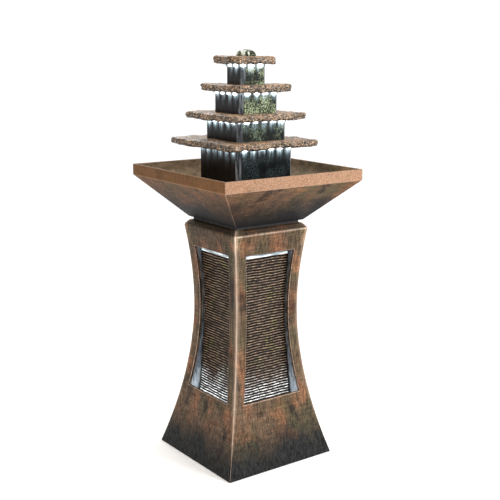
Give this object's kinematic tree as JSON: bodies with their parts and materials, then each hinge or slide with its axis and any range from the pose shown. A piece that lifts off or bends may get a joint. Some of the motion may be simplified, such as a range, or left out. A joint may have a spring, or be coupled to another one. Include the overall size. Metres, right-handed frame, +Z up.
{
  "type": "tiered water fountain",
  "caption": "Garden fountain: waisted square pedestal with lit niches, a square bowl, and a tower of dark boxes with stone slabs that water runs down.",
  "frame": {"origin": "centre of the foot, on the floor", "axes": "+Z up along the height, -Y out of the front face, +X to the right of it"},
  "size_m": [0.47, 0.47, 1.177],
  "materials": {
    "pedestal_resin": "cast resin, brushed antique copper with worn edges",
    "bowl_resin": "cast resin, antique copper with worn edges",
    "ribbed_resin": "ribbed cast resin, wet",
    "slab_stone": "split and pitted, wet",
    "tower_stone": "polished dark stone effect, wet",
    "light_diffuser": "frosted, lit",
    "black_rubber": "matt",
    "black_plastic": "fine grain",
    "spout_plastic": "wet gloss",
    "water": "running water, clear",
    "steel": "ground",
    "clear_tube": "translucent vinyl"
  },
  "bodies": {
    "pedestal": {"pedestal_shell": "pedestal_resin", "niche_liner_front": "pedestal_resin", "niche_liner_right": "pedestal_resin", "niche_liner_back": "pedestal_resin", "niche_liner_left": "pedestal_resin", "niche_panel_front": "ribbed_resin", "niche_panel_right": "ribbed_resin", "niche_panel_back": "ribbed_resin", "niche_panel_left": "ribbed_resin", "niche_light_head_front": "light_diffuser", "niche_light_head_right": "light_diffuser", "niche_light_head_back": "light_diffuser", "niche_light_head_left": "light_diffuser", "niche_light_sill_front": "light_diffuser", "niche_light_sill_right": "light_diffuser", "niche_light_sill_back": "light_diffuser", "niche_light_sill_left": "light_diffuser", "cable_grommet": "black_rubber", "light_junction_box": "black_plastic", "foot_front_left": "black_rubber", "foot_front_right": "black_rubber", "foot_back_right": "black_rubber", "foot_back_left": "black_rubber", "seat_gasket": "black_rubber"},
    "bowl": {"bowl_shell": "bowl_resin", "lead_stopper": "black_rubber", "pump_body": "black_plastic", "pump_outlet": "black_plastic", "pump_shaft": "steel", "pump_lead": "black_rubber", "suction_cup_front_left": "black_rubber", "suction_cup_front_right": "black_rubber", "suction_cup_back_right": "black_rubber", "suction_cup_back_left": "black_rubber"},
    "impeller": {"pump_impeller": "black_plastic"},
    "intake_cover": {"pump_cover": "black_plastic"},
    "flow_dial": {"pump_flow_dial": "black_plastic"},
    "tower": {"tower_box_1": "tower_stone", "tier_slab_1": "slab_stone", "light_strip_1": "light_diffuser", "tower_box_2": "tower_stone", "tier_slab_2": "slab_stone", "light_strip_2": "light_diffuser", "tower_box_3": "tower_stone", "tier_slab_3": "slab_stone", "light_strip_3": "light_diffuser", "tower_box_4": "tower_stone", "tier_slab_4": "slab_stone", "light_strip_4": "light_diffuser", "riser_tube": "clear_tube", "light_lead": "black_rubber", "light_lead_plug": "black_plastic"},
    "spout": {"spout_nozzle": "spout_plastic"}
  },
  "joints": [
    {"name": "bowl_lift", "type": "slide", "parent": "pedestal", "child": "bowl", "axis": [0, 0, 1], "range_m": [0, 0.03]},
    {"name": "tower_lift", "type": "slide", "parent": "bowl", "child": "tower", "axis": [0, 0, 1], "range_m": [0, 0.16]},
    {"name": "spout_lift", "type": "slide", "parent": "tower", "child": "spout", "axis": [0, 0, 1], "range_m": [0, 0.025]},
    {"name": "cover_pull", "type": "slide", "parent": "bowl", "child": "intake_cover", "axis": [0, -1, 0], "range_m": [0, 0.025]},
    {"name": "flow_dial_turn", "type": "hinge", "parent": "intake_cover", "child": "flow_dial", "pos_m": [0, -0.0245, 0.739], "axis": [0, -1, 0], "range_deg": [0, 45]},
    {"name": "impeller_spin", "type": "hinge", "parent": "bowl", "child": "impeller", "pos_m": [0, 0.01, 0.739], "axis": [0, -1, 0], "continuous": true}
  ]
}
